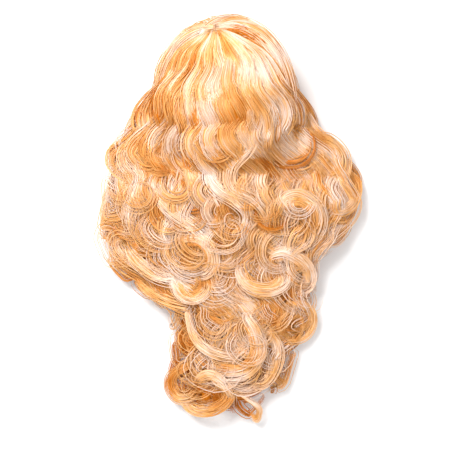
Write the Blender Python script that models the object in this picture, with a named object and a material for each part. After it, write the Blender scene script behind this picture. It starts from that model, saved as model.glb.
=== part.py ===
"""Long curly machine-sewn wig, lying on its face side. Metres, +Z up.

+Y points to the top of the head, +Z to the back of the head, +X to the right.
The origin is at the centre of the bounding box's bottom, on the surface it lies on.

The cap is half an egg. Every cap piece is a strip or a panel between two copies
of that egg, each grown by its own offset, so the pieces lie on each other in
layers: bands, then ribbons, then weft tracks, then hair. Places on the cap are
given either by height and angle round the cap, or by reach and bearing from the
crown. The hair is a set of plain closed masses.
"""

import math

import bmesh
import bpy
from mathutils import Vector

# Overall sizes
WIG_LENGTH = 0.650
HAIR_DEPTH = 0.026  # from the cap's surface to the outside of the hair over it
LAYER_GAP = 0.0007  # between one layer of the cap and the next
SEAM_GAP = 0.0006  # between two pieces that are sewn edge to edge
HAIR_GAP = 0.0010  # between the weft tracks and the hair over them
STEP = math.radians(10)  # facet size round the cap
FINE_STEP = math.radians(7)

# Cap
CAP_HALF_WIDTH = 0.090
CAP_HALF_LENGTH = 0.106
CAP_HALF_DEPTH = 0.075
RIM_DROP = 0.038  # how far the rim lies below the cap's widest level
CROWN_RISE = math.radians(29)  # the crown's height on the cap, above +Y
BAND_THICKNESS = 0.0010
FRONT_BAND_HEIGHT = 0.016
NAPE_BAND_HEIGHT = 0.016
TEMPLE_START = math.radians(-8)  # where the ear cut-out begins, round from +X
TEMPLE_END = math.radians(12)
CROWN_PATCH_RADIUS = math.radians(22)

# Ribbons and weft tracks
RIBBON_THICKNESS = 0.0008
RIBBON_WIDTH = 0.010
RIBBON_START = math.radians(18)
RIBBON_BEARINGS = {
    "centre_back": 0,
    "back_right": 40,
    "back_left": -40,
    "side_right": 75,
    "side_left": -75,
    "temple_right": 125,
    "temple_left": -125,
    "centre_front": 180,
}
TRACK_THICKNESS = 0.0016
TRACK_WIDTH = 0.006
TRACK_COUNT = 9
FIRST_TRACK = math.radians(30)
LAST_TRACK = math.radians(138)
EAR_REACH = math.radians(107)  # tracks beyond this end over the nape band

# Ear tabs
TAB_REACH = math.radians(24)
TAB_HEIGHT = 0.022
TAB_LIFT = 0.004
TAB_TAPER = 0.5  # share of its height that the tab loses at the tip
STAY_THICKNESS = 0.0007
STAY_WIDTH = 0.004
STAY_INSET = math.radians(3)
LINING_THICKNESS = 0.0005
TAB_LAYER_GAP = 0.0005

# Size adjusters inside the nape band, given as lengths along its curve and
# depths inwards from it
ADJUSTER_GAP = 0.0009
TAPE_DEPTH = 0.0023
TAPE_HALF_HEIGHT = 0.006
TAPE_START = 0.0027
TAPE_END = 0.0355
LOOP_COUNT = 5
LOOP_WIDTH = 0.0022
LOOP_DEPTH = 0.0029
STRAP_DEPTH = 0.0045
STRAP_THICKNESS = 0.0008
STRAP_WIDTH = 0.008
STRAP_START = 0.0325
STRAP_END = 0.0640
HOOK_WIDTH = 0.006
HOOK_LENGTH = 0.0070
HOOK_TONGUE = 0.0050
HOOK_WIRE = 0.0007
CASING_START = 0.0375
CASING_END = 0.0670
CASING_WALL = 0.0008
CASING_ROOM = 0.0007  # clearance round the strap inside its casing

# Hair masses
CROWN_HAIR_LEVEL = 0.090  # above this the hair over the cap is the top masses
NAPE_HAIR_DEPTH = 0.0115  # least hair between the cap's hair and the fold line
NAPE_HAIR_TURN = math.radians(40)  # half of the nape mass, round from the nape
SIDE_CURL_START = 0.165  # how far up the sides the loose curls begin
SIDE_CURL_REACH = 0.205
SIDE_CURL_HEIGHT = 0.055
SIDE_CURL_TIP = 0.010  # width of the curls' far end
FOLD_HEIGHT = 0.092  # height of the hair where its loose length folds
CENTRE_HALF_WIDTH = 0.090

# Outline of the loose length: share of its run, reach to -X, reach to +X, height
LENGTH_OUTLINE = (
    (0.00, 0.200, 0.214, 0.092),
    (0.18, 0.214, 0.205, 0.076),
    (0.32, 0.195, 0.165, 0.064),
    (0.42, 0.150, 0.145, 0.058),
    (0.52, 0.100, 0.148, 0.054),
    (0.66, 0.088, 0.120, 0.048),
    (0.80, 0.092, 0.096, 0.042),
    (0.92, 0.080, 0.080, 0.034),
    (1.00, 0.040, 0.052, 0.022),
)
UPPER_SHARE = 0.40  # of the length's run, where the upper masses end
LOWER_SHARE = 0.67  # where the tail begins

# Derived places
CAP_Y = WIG_LENGTH / 2 - CAP_HALF_LENGTH - HAIR_DEPTH
CAP_Z = RIM_DROP
RIBBON_OFFSET = BAND_THICKNESS + LAYER_GAP
TRACK_OFFSET = RIBBON_OFFSET + RIBBON_THICKNESS + LAYER_GAP
HAIR_OFFSET = TRACK_OFFSET + TRACK_THICKNESS + HAIR_GAP
NAPE_BAND_BOTTOM = CAP_Z - NAPE_BAND_HEIGHT / 2
NAPE_BAND_TOP = CAP_Z + NAPE_BAND_HEIGHT / 2
FOLD_Y = CAP_Y - CAP_HALF_LENGTH - HAIR_DEPTH - NAPE_HAIR_DEPTH
LENGTH_RUN = FOLD_Y + WIG_LENGTH / 2
NAPE_RADIUS = CAP_HALF_WIDTH**2 / CAP_HALF_LENGTH  # of the band's curve at the nape
NAPE_CENTRE_Y = CAP_Y - CAP_HALF_LENGTH + NAPE_RADIUS
NAPE_SHRINK = math.sqrt(1 - (NAPE_BAND_HEIGHT / 2 / CAP_HALF_DEPTH) ** 2)
SEAM_TURN = SEAM_GAP / CAP_HALF_WIDTH


def clear_scene():
    for thing in list(bpy.data.objects):
        bpy.data.objects.remove(thing)


def make_material(name, colour, roughness, metallic=0.0):
    material = bpy.data.materials.new(name)
    material.use_nodes = True
    shader = material.node_tree.nodes["Principled BSDF"]
    shader.inputs["Base Color"].default_value = (*colour, 1)
    shader.inputs["Roughness"].default_value = roughness
    shader.inputs["Metallic"].default_value = metallic
    return material


def add_object(name, material, mesh, parent=None):
    thing = bpy.data.objects.new(name, mesh)
    bpy.context.scene.collection.objects.link(thing)
    mesh.materials.append(material)
    if parent:
        place = parent.location.copy()
        mesh.transform(parent.matrix_basis.inverted())
        thing.parent = parent
        thing.matrix_parent_inverse.identity()
        parent.location = place
    return thing


def solid_from(name, material, points, faces, parent=None):
    """An object from points and faces, with doubles merged and faces turned outwards."""
    mesh = bpy.data.meshes.new(name)
    shape = bmesh.new()
    corners = [shape.verts.new(point) for point in points]
    for face in faces:
        shape.faces.new([corners[index] for index in face])
    bmesh.ops.remove_doubles(shape, verts=shape.verts, dist=1e-6)
    bmesh.ops.recalc_face_normals(shape, faces=shape.faces)
    shape.to_mesh(mesh)
    shape.free()
    mesh.shade_smooth()
    mesh.set_sharp_from_angle(angle=math.radians(35))
    return add_object(name, material, mesh, parent)


def spaced(start, end, step):
    """Values from start to end, no more than about a step apart."""
    count = max(1, round(abs(end - start) / step))
    return [start + (end - start) * index / count for index in range(count + 1)]


def slab(name, material, near, far, across, along, ring=False, parent=None):
    """A closed solid between the surfaces near(u, v) and far(u, v)."""
    rows = across[:-1] if ring else across
    points = [surface(u, v) for surface in (near, far) for u in rows for v in along]
    width = len(along)
    layer = len(rows) * width

    def corner(side, row, column):
        return side * layer + (row % len(rows)) * width + column

    faces = []
    for row in range(len(across) - 1):
        for column in range(width - 1):
            for side in (0, 1):
                faces.append(
                    [
                        corner(side, row, column),
                        corner(side, row + 1, column),
                        corner(side, row + 1, column + 1),
                        corner(side, row, column + 1),
                    ]
                )
        for column in (0, width - 1):
            faces.append(
                [
                    corner(0, row, column),
                    corner(0, row + 1, column),
                    corner(1, row + 1, column),
                    corner(1, row, column),
                ]
            )
    if not ring:
        for row in (0, len(across) - 1):
            for column in range(width - 1):
                faces.append(
                    [
                        corner(0, row, column),
                        corner(0, row, column + 1),
                        corner(1, row, column + 1),
                        corner(1, row, column),
                    ]
                )
    return solid_from(name, material, points, faces, parent)


# Places on the cap


def on_cap(direction, offset):
    """The point of the cap, grown by offset, that lies in this direction."""
    return Vector(
        (
            direction[0] * (CAP_HALF_WIDTH + offset),
            CAP_Y + direction[1] * (CAP_HALF_LENGTH + offset),
            CAP_Z + direction[2] * (CAP_HALF_DEPTH + offset),
        )
    )


def at_height(turn, height, offset):
    """A point of the grown cap at this height, turned round from +X."""
    rise = (height - CAP_Z) / (CAP_HALF_DEPTH + offset)
    spread = math.sqrt(max(0.0, 1 - rise * rise))
    return on_cap((spread * math.cos(turn), spread * math.sin(turn), rise), offset)


def from_crown(bearing, reach, offset):
    """A point at this reach from the crown. Bearing 0 leads to the nape over the back."""
    forward, rise = math.cos(CROWN_RISE), math.sin(CROWN_RISE)
    towards_nape = math.sin(reach) * math.cos(bearing)
    return on_cap(
        (
            math.sin(reach) * math.sin(bearing),
            math.cos(reach) * forward - towards_nape * rise,
            math.cos(reach) * rise + towards_nape * forward,
        ),
        offset,
    )


def reach_of_height(bearing, height, offset):
    """How far from the crown this bearing comes down to a height."""
    level = (height - CAP_Z) / (CAP_HALF_DEPTH + offset)
    rise = math.sin(CROWN_RISE)
    run = math.cos(CROWN_RISE) * math.cos(bearing)
    share = max(-1.0, min(1.0, level / math.hypot(rise, run)))
    return math.atan2(run, rise) + math.acos(share)


def bearing_of_height(reach, height, offset):
    """How far round the crown a circle at this reach stays above a height."""
    level = (height - CAP_Z) / (CAP_HALF_DEPTH + offset)
    rise, run = math.sin(CROWN_RISE), math.cos(CROWN_RISE)
    share = (level - rise * math.cos(reach)) / (run * math.sin(reach))
    return math.acos(max(-1.0, min(1.0, share)))


# Cap


def cap_panel(name, material, turns, heights, offset, thickness, parent=None):
    return slab(
        name,
        material,
        lambda turn, height: at_height(turn, height, offset),
        lambda turn, height: at_height(turn, height, offset + thickness),
        turns,
        heights,
        parent=parent,
    )


def make_bands(velvet, lace):
    half = SEAM_TURN / 2
    front = spaced(TEMPLE_END + half, math.pi - TEMPLE_END - half, STEP)
    cap_panel("front_band", velvet, front, (0, FRONT_BAND_HEIGHT), 0, BAND_THICKNESS)
    nape = spaced(math.pi - TEMPLE_START + half, math.tau + TEMPLE_START - half, STEP)
    levels = (NAPE_BAND_BOTTOM, NAPE_BAND_TOP)
    cap_panel("nape_band", velvet, nape, levels, 0, BAND_THICKNESS)
    levels = (0, FRONT_BAND_HEIGHT, NAPE_BAND_BOTTOM, NAPE_BAND_TOP)
    for side, mirrored in (("right", False), ("left", True)):
        start, end = TEMPLE_START + half, TEMPLE_END - half
        if mirrored:
            start, end = math.pi - end, math.pi - start
        turns = spaced(start, end, STEP)
        cap_panel(f"temple_panel_{side}", lace, turns, levels, 0, BAND_THICKNESS)


def make_crown_patch(material):
    slab(
        "crown_patch",
        material,
        lambda bearing, reach: from_crown(bearing, reach, 0),
        lambda bearing, reach: from_crown(bearing, reach, BAND_THICKNESS),
        spaced(0, math.tau, math.radians(20)),
        spaced(0, CROWN_PATCH_RADIUS, math.radians(11)),
        ring=True,
    )


def make_ribbons(material):
    for name, degrees in RIBBON_BEARINGS.items():
        middle = math.radians(degrees)
        behind_ear = abs(degrees) < 90
        height = CAP_Z if behind_ear else FRONT_BAND_HEIGHT / 2
        end = reach_of_height(middle, height, RIBBON_OFFSET)

        def surface(offset, middle=middle):
            def point(side, reach):
                lean = RIBBON_WIDTH / 2 / (CAP_HALF_WIDTH * math.sin(reach))
                return from_crown(middle + side * lean, reach, offset)

            return point

        slab(
            f"ribbon_{name}",
            material,
            surface(RIBBON_OFFSET),
            surface(RIBBON_OFFSET + RIBBON_THICKNESS),
            (-1, 1),
            spaced(RIBBON_START, end, FINE_STEP),
        )


def make_weft_tracks(material):
    """Rows of machine-sewn weft, circling the crown down to the nape."""
    half = TRACK_WIDTH / 2 / CAP_HALF_LENGTH
    for index in range(TRACK_COUNT):
        share = index / (TRACK_COUNT - 1)
        reach = FIRST_TRACK + (LAST_TRACK - FIRST_TRACK) * share
        floor = FRONT_BAND_HEIGHT if reach < EAR_REACH else NAPE_BAND_TOP
        outer = TRACK_OFFSET + TRACK_THICKNESS
        limit = bearing_of_height(reach, floor + TRACK_WIDTH, outer)
        whole = limit > math.radians(175)
        limit = math.pi if whole else limit
        slab(
            f"weft_track_{index + 1}",
            material,
            lambda bearing, place: from_crown(bearing, place, TRACK_OFFSET),
            lambda bearing, place: from_crown(bearing, place, outer),
            spaced(-limit, limit, STEP),
            (reach - half, reach + half),
            ring=whole,
        )


# Ear tabs


def tab_surface(side, inset, offset):
    """Points of a tab by share of its length and side of its middle line."""

    def point(share, edge):
        start = TEMPLE_START - SEAM_TURN / 2 - inset
        turn = start - (TAB_REACH - 2 * inset) * share
        half = (TAB_HEIGHT / 2 - inset * CAP_HALF_WIDTH) * (1 - TAB_TAPER * share**2)
        height = TAB_LIFT + TAB_HEIGHT / 2 + edge * half
        place = at_height(turn, height, offset)
        return Vector((side * place.x, place.y, place.z))

    return point


def make_ear_tabs(velvet, steel, lining):
    for name, side in (("right", 1), ("left", -1)):
        # The tab bends about its sewn edge, from this foot up to its top corner
        foot = at_height(TEMPLE_START, TAB_LIFT, BAND_THICKNESS / 2)
        hinge = bpy.data.objects.new(f"ear_tab_{name}_hinge", None)
        hinge.location = (side * foot.x, foot.y, foot.z)
        bpy.context.scene.collection.objects.link(hinge)
        shares = (0, 0.25, 0.5, 0.75, 1)
        slab(
            f"ear_tab_{name}",
            velvet,
            tab_surface(side, 0, 0),
            tab_surface(side, 0, BAND_THICKNESS),
            shares,
            (-1, 0, 1),
            parent=hinge,
        )
        stay_top = -TAB_LAYER_GAP
        lining_top = stay_top - STAY_THICKNESS - TAB_LAYER_GAP
        stay_share = STAY_WIDTH / (TAB_HEIGHT - 2 * STAY_INSET * CAP_HALF_WIDTH)
        slab(
            f"ear_stay_{name}",
            steel,
            tab_surface(side, STAY_INSET, stay_top - STAY_THICKNESS),
            tab_surface(side, STAY_INSET, stay_top),
            shares,
            (-stay_share, stay_share),
            parent=hinge,
        )
        slab(
            f"ear_lining_{name}",
            lining,
            tab_surface(side, STAY_INSET / 3, lining_top - LINING_THICKNESS),
            tab_surface(side, STAY_INSET / 3, lining_top),
            shares,
            (-1, 0, 1),
            parent=hinge,
        )


# Size adjusters


def nape_reach(turn):
    """Distance from the adjusters' centre to the inside of the nape band's edges."""
    across = math.sin(turn) / CAP_HALF_WIDTH / NAPE_SHRINK
    back = -math.cos(turn) / CAP_HALF_LENGTH / NAPE_SHRINK
    start = (NAPE_CENTRE_Y - CAP_Y) / CAP_HALF_LENGTH / NAPE_SHRINK
    square = across**2 + back**2
    half = start * back
    return (-half + math.sqrt(half**2 - square * (start**2 - 1))) / square


def on_nape(side, length, radius, height):
    turn = length / NAPE_RADIUS
    return Vector(
        (
            side * radius * math.sin(turn),
            NAPE_CENTRE_Y - radius * math.cos(turn),
            CAP_Z + height,
        )
    )


def make_loop_tape(side, name, material):
    """The tape that the hook catches, with a row of raised loops."""
    pitch = (TAPE_END - TAPE_START) / LOOP_COUNT
    depths = {TAPE_START: TAPE_DEPTH, TAPE_END: TAPE_DEPTH}
    for index in range(LOOP_COUNT):
        middle = TAPE_START + pitch * (index + 0.5)
        for offset, depth in ((0.5, TAPE_DEPTH), (0.3, LOOP_DEPTH)):
            depths[middle - offset * LOOP_WIDTH] = depth
            depths[middle + offset * LOOP_WIDTH] = depth

    def outer(length, height):
        reach = nape_reach(length / NAPE_RADIUS) - ADJUSTER_GAP
        return on_nape(side, length, reach, height)

    def inner(length, height):
        return on_nape(side, length, NAPE_RADIUS - depths[length], height)

    edges = (-TAPE_HALF_HEIGHT, TAPE_HALF_HEIGHT)
    slab(f"loop_tape_{name}", material, inner, outer, sorted(depths), edges)


def make_casing(side, name, material):
    """A sewn tunnel on the nape band that the elastic strap runs through."""
    room_top = STRAP_DEPTH - CASING_ROOM
    room_bottom = STRAP_DEPTH + STRAP_THICKNESS + CASING_ROOM
    room_half = STRAP_WIDTH / 2 + CASING_ROOM
    half = room_half + CASING_WALL
    stations = spaced(CASING_START, CASING_END, STEP * NAPE_RADIUS / 2)
    points, faces = [], []
    for length in stations:
        band = nape_reach(length / NAPE_RADIUS) - ADJUSTER_GAP
        inside = NAPE_RADIUS - room_bottom - CASING_WALL
        near, far = NAPE_RADIUS - room_bottom, NAPE_RADIUS - room_top
        for radius, height in (
            (inside, -half),
            (band, -half),
            (band, half),
            (inside, half),
            (near, -room_half),
            (far, -room_half),
            (far, room_half),
            (near, room_half),
        ):
            points.append(on_nape(side, length, radius, height))
    for station in range(len(stations) - 1):
        first = 8 * station
        for ring in (0, 4):
            for corner in range(4):
                here, there = first + ring + corner, first + ring + (corner + 1) % 4
                faces.append((here, there, there + 8, here + 8))
    for first in (0, 8 * (len(stations) - 1)):
        for corner in range(4):
            here, there = first + corner, first + (corner + 1) % 4
            faces.append((here, there, there + 4, here + 4))
    solid_from(f"strap_casing_{name}", material, points, faces)


def make_strap_and_hook(side, name, elastic, metal):
    """The moving pair: it turns about the centre of the nape band's curve."""
    centre = bpy.data.objects.new(f"adjuster_{name}_centre", None)
    centre.location = (0, NAPE_CENTRE_Y, 0)
    bpy.context.scene.collection.objects.link(centre)
    top = NAPE_RADIUS - STRAP_DEPTH
    slab(
        f"adjuster_strap_{name}",
        elastic,
        lambda length, height: on_nape(side, length, top - STRAP_THICKNESS, height),
        lambda length, height: on_nape(side, length, top, height),
        spaced(STRAP_START, STRAP_END, STEP * NAPE_RADIUS / 2),
        (-STRAP_WIDTH / 2, STRAP_WIDTH / 2),
        parent=centre,
    )
    end = STRAP_START - LAYER_GAP
    tip = end - HOOK_LENGTH
    plate_top = STRAP_DEPTH
    plate_bottom = plate_top + HOOK_WIRE
    tongue_top = LOOP_DEPTH + LAYER_GAP / 2
    tongue_bottom = tongue_top + HOOK_WIRE
    outline = (
        (end, plate_bottom),
        (tip, plate_bottom),
        (tip, tongue_top),
        (tip + HOOK_TONGUE, tongue_top),
        (tip + HOOK_TONGUE, tongue_bottom),
        (tip + HOOK_WIRE, tongue_bottom),
        (tip + HOOK_WIRE, plate_top),
        (end, plate_top),
    )
    points = [
        on_nape(side, length, NAPE_RADIUS - depth, height)
        for height in (-HOOK_WIDTH / 2, HOOK_WIDTH / 2)
        for length, depth in outline
    ]
    count = len(outline)
    faces = [tuple(range(count)), tuple(range(count, 2 * count))]
    for corner in range(count):
        after = (corner + 1) % count
        faces.append((corner, after, after + count, corner + count))
    solid_from(f"adjuster_hook_{name}", metal, points, faces, centre)


def make_adjusters(tape, elastic, metal, velvet):
    for name, side in (("right", 1), ("left", -1)):
        make_loop_tape(side, name, tape)
        make_casing(side, name, velvet)
        make_strap_and_hook(side, name, elastic, metal)


# Hair over the cap


def make_cap_hair(material):
    """Shells of hair over the cap: two on top, and a ring of panels down to the rim."""
    gap = SEAM_TURN / 2

    def dome(offset, base):
        rise = (base - CAP_Z) / (CAP_HALF_DEPTH + offset)
        lowest = math.asin(max(-1.0, min(1.0, rise)))

        def point(turn, share):
            angle = lowest + (math.pi / 2 - lowest) * share
            spread = math.cos(angle)
            place = (spread * math.cos(turn), spread * math.sin(turn), math.sin(angle))
            return on_cap(place, offset)

        return point

    base = CROWN_HAIR_LEVEL + SEAM_GAP
    for name, start in (("crown_hair", 0), ("back_hair", math.pi)):

        def halved(surface, start=start):
            """Keeps one half of the dome off the middle plane by half a seam."""
            side = 1 if start == 0 else -1

            def point(turn, share):
                place = surface(turn, share)
                shift = side * SEAM_GAP / 2
                return Vector((place.x, place.y + shift, place.z))

            return point

        slab(
            name,
            material,
            halved(dome(HAIR_OFFSET, base)),
            halved(dome(HAIR_DEPTH, base)),
            spaced(start, start + math.pi, FINE_STEP),
            spaced(0, 1, 0.125),
        )
    levels = spaced(0, CROWN_HAIR_LEVEL, CAP_HALF_DEPTH * STEP * 0.7)
    nape_start = math.radians(270) - NAPE_HAIR_TURN
    nape_end = math.radians(270) + NAPE_HAIR_TURN
    quarter = math.radians(50)
    panels = {
        "front_hair": (math.pi / 2 - quarter / 2, math.pi / 2 + quarter / 2),
        "temple_hair_right": (TEMPLE_START, math.pi / 2 - quarter / 2),
        "temple_hair_left": (math.pi / 2 + quarter / 2, math.pi - TEMPLE_START),
        "ear_hair_right": (nape_end - math.tau, TEMPLE_START),
        "ear_hair_left": (math.pi - TEMPLE_START, nape_start),
    }
    for name, (start, end) in panels.items():
        turns = spaced(start + gap, end - gap, FINE_STEP)
        thickness = HAIR_DEPTH - HAIR_OFFSET
        cap_panel(name, material, turns, levels, HAIR_OFFSET, thickness)

    def nape_outside(turn, height):
        place = at_height(turn, CAP_Z, HAIR_DEPTH)
        return Vector((place.x, FOLD_Y + SEAM_GAP / 2, height))

    slab(
        "nape_hair",
        material,
        lambda turn, height: at_height(turn, height, HAIR_OFFSET),
        nape_outside,
        spaced(nape_start + gap, nape_end - gap, FINE_STEP),
        levels,
    )


def make_side_curls(material):
    """Loose curls that lie on the surface beside the cap, above the fold line."""
    nape_edge = at_height(math.radians(270) + NAPE_HAIR_TURN, CAP_Z, HAIR_DEPTH).x
    start = FOLD_Y + SEAM_GAP / 2
    for name, side in (("right", 1), ("left", -1)):

        def limits(y):
            across = (y - CAP_Y) / (CAP_HALF_LENGTH + HAIR_DEPTH)
            shell = (CAP_HALF_WIDTH + HAIR_DEPTH) * math.sqrt(max(0.0, 1 - across**2))
            inner = max(shell, nape_edge) + HAIR_GAP
            share = (y - start) / (SIDE_CURL_START - start)
            fall = math.sqrt(max(0.0, 1 - share * share))
            tip = inner + SIDE_CURL_TIP
            return inner, tip + (SIDE_CURL_REACH - tip) * fall

        def bottom(y, share, side=side, limits=limits):
            inner, outer = limits(y)
            return Vector((side * (inner + (outer - inner) * share), y, 0))

        def top(y, share, bottom=bottom):
            place = bottom(y, share)
            place.z = SIDE_CURL_HEIGHT * math.sqrt(1 - 0.95 * share**2)
            return place

        slab(
            f"side_curls_{name}",
            material,
            bottom,
            top,
            spaced(start, SIDE_CURL_START, 0.016),
            (0, 0.3, 0.6, 0.85, 1),
        )


# Loose length


def outline_at(share):
    """Reach to -X, reach to +X and height of the loose length at a share of its run."""
    for before, after in zip(LENGTH_OUTLINE, LENGTH_OUTLINE[1:]):
        if share <= after[0]:
            part = (share - before[0]) / (after[0] - before[0])
            smooth = part * part * (3 - 2 * part)
            return [a + (b - a) * smooth for a, b in zip(before[1:], after[1:])]
    return LENGTH_OUTLINE[-1][1:]


def make_length(material):
    """The loose length below the nape, in masses that lift together about the fold."""
    fold = bpy.data.objects.new("length_fold", None)
    fold.location = (0, FOLD_Y, FOLD_HEIGHT)
    bpy.context.scene.collection.objects.link(fold)
    seam = SEAM_GAP / 2

    def mass(name, shares, low, high):
        """low and high limit the mass across; None means the outline's own edge."""

        def edges(share):
            left, right, _ = outline_at(share)
            return (
                -left if low is None else low + seam,
                right if high is None else high - seam,
            )

        def bottom(share, part):
            start, end = edges(share)
            x = start + (end - start) * part
            return Vector((x, FOLD_Y - LENGTH_RUN * share, 0))

        def top(share, part):
            left, right, height = outline_at(share)
            place = bottom(share, part)
            across = place.x / (right if place.x > 0 else left)
            place.z = height * math.sqrt(1 - 0.94 * min(1.0, across**2))
            return place

        first, last = shares
        inset = seam / LENGTH_RUN
        last = last if last == 1 else last - inset
        slab(
            name,
            material,
            bottom,
            top,
            spaced(first + inset, last, 0.045),
            spaced(0, 1, 0.125 if low is None and high is None else 0.25),
            parent=fold,
        )

    upper, lower = (0, UPPER_SHARE), (UPPER_SHARE, LOWER_SHARE)
    mass("length_centre", upper, -CENTRE_HALF_WIDTH, CENTRE_HALF_WIDTH)
    mass("length_curls_left", upper, None, -CENTRE_HALF_WIDTH)
    mass("length_curls_right", upper, CENTRE_HALF_WIDTH, None)
    mass("length_lower", lower, None, None)
    mass("tail_curls", (LOWER_SHARE, 1), None, None)


def main():
    clear_scene()
    velvet = make_material("velvet", (0.30, 0.17, 0.09), 0.95)
    lace = make_material("lace", (0.55, 0.38, 0.24), 0.85)
    skin = make_material("crown_skin", (0.75, 0.52, 0.36), 0.60)
    elastic = make_material("elastic", (0.62, 0.45, 0.30), 0.80)
    thread = make_material("weft_thread", (0.70, 0.45, 0.22), 0.70)
    steel = make_material("steel", (0.62, 0.62, 0.64), 0.30, 1.0)
    hair = make_material("hair", (0.90, 0.58, 0.27), 0.40)
    make_bands(velvet, lace)
    make_crown_patch(skin)
    make_ribbons(elastic)
    make_weft_tracks(thread)
    make_ear_tabs(velvet, steel, lace)
    make_adjusters(elastic, elastic, steel, velvet)
    make_cap_hair(hair)
    make_side_curls(hair)
    make_length(hair)


main()
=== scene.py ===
"""Long curly golden wig, lying on its face side on a white table."""

import math

import bpy
import numpy as np
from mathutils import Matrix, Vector
from mathutils.bvhtree import BVHTree


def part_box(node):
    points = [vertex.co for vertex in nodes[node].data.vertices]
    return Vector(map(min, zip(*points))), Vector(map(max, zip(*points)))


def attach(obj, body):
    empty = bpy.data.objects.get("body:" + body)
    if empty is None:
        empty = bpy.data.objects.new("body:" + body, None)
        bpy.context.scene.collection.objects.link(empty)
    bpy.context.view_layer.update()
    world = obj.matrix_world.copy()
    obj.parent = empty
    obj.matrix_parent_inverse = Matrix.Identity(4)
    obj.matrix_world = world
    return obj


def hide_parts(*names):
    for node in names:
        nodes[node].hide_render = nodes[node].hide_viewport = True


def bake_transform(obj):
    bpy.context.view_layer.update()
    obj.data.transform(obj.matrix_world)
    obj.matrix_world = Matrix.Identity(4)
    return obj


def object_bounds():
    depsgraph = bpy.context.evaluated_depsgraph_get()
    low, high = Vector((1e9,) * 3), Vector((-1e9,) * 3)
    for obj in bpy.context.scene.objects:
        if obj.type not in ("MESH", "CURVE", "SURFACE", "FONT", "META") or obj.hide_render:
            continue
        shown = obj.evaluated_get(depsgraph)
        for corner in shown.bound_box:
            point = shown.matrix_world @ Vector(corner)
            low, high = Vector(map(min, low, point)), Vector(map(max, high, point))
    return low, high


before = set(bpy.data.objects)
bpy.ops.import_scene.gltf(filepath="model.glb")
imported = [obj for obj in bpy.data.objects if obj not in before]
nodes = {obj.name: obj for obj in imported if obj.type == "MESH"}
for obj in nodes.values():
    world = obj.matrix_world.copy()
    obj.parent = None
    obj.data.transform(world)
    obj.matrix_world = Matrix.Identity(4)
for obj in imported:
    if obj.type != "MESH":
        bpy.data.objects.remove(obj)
cad_low, cad_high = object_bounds()

# Table, light and camera
# A white table top and a large soft light overhead, beyond the whorl and to its left,
# with the camera looking straight down on the back of the head.
bpy.ops.object.select_all(action="DESELECT")
bpy.ops.mesh.primitive_plane_add(size=8, location=(0, 0, -0.0005))
table = bpy.context.object
table.name = "table"
table_paint = bpy.data.materials.new("white_table")
table_paint.use_nodes = True
paint = table_paint.node_tree.nodes["Principled BSDF"]
paint.inputs["Base Color"].default_value = (0.93, 0.93, 0.93, 1)
paint.inputs["Roughness"].default_value = 0.85
table.data.materials.append(table_paint)


def softbox(name, place, size, watts):
    """A square area light that faces the wig."""
    bpy.ops.object.light_add(type="AREA", location=place)
    lamp = bpy.context.object
    lamp.name = name
    lamp.data.size = size
    lamp.data.energy = watts
    away = Vector(place) - Vector((0, 0, 0.03))
    lamp.rotation_euler = away.to_track_quat("Z", "Y").to_euler()
    return lamp


softbox("key_softbox", (-0.62, 0.80, 1.5), 0.8, 36)
softbox("fill_softbox", (0.9, -0.6, 1.6), 1.4, 7)
sky = bpy.data.worlds.new("studio")
sky.use_nodes = True
sky.node_tree.nodes["Background"].inputs["Color"].default_value = (1, 1, 1, 1)
sky.node_tree.nodes["Background"].inputs["Strength"].default_value = 0.73
bpy.context.scene.world = sky
bpy.context.scene.view_settings.view_transform = "Standard"

VIEW_WIDTH = 0.7155  # of the table that is in view, at mid height
MID_HEIGHT = 0.035
CAMERA_HEIGHT = 2.4
camera_data = bpy.data.cameras.new("camera")
camera_data.sensor_width = 36
camera_data.lens = camera_data.sensor_width * (CAMERA_HEIGHT - MID_HEIGHT) / VIEW_WIDTH
camera = bpy.data.objects.new("camera", camera_data)
camera.location = (-0.0016, -0.0072, CAMERA_HEIGHT)
bpy.context.scene.collection.objects.link(camera)
bpy.context.scene.camera = camera


# Velvet bands, ear tabs and strap casings
# Brown velvet ribbon, sewn round the front and the nape, folded into the ear
# tabs and stitched down as tunnels for the elastic. Short pile over a weave.
class Socket:
    """A node's output that can be used in expressions."""

    def __init__(self, maker, output):
        self.maker, self.output = maker, output

    def _math(self, operation, *values):
        return self.maker.node("ShaderNodeMath", {"operation": operation}, *values)

    def __add__(self, other):
        return self._math("ADD", self, other)

    def __sub__(self, other):
        return self._math("SUBTRACT", self, other)

    def __rsub__(self, other):
        return self._math("SUBTRACT", other, self)

    def __mul__(self, other):
        return self._math("MULTIPLY", self, other)

    __radd__, __rmul__ = __add__, __mul__


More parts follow.
